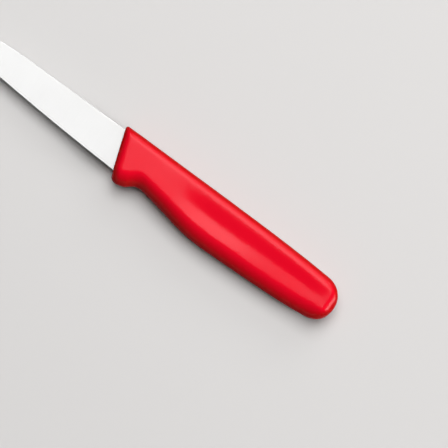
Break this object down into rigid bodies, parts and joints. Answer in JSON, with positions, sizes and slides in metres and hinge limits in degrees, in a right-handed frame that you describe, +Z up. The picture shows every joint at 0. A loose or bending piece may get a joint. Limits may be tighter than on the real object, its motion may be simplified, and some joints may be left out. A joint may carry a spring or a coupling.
{
  "type": "paring knife",
  "caption": "Small paring knife with a straight-edged pointed blade and a moulded red handle with a finger guard and thumb scoops.",
  "frame": {"origin": "middle of the knife's bounding box, on the surface that the knife lies on", "axes": "the knife lies on its side: +X runs along it from tip to butt, +Y points from cutting edge to spine, +Z is up and square to the blade's plane"},
  "size_m": [0.1972, 0.022, 0.0129],
  "materials": {
    "blade_steel": "satin",
    "handle_plastic": "satin, moulded in one colour"
  },
  "bodies": {
    "root": {"blade": "blade_steel", "handle": "handle_plastic"}
  },
  "joints": []
}
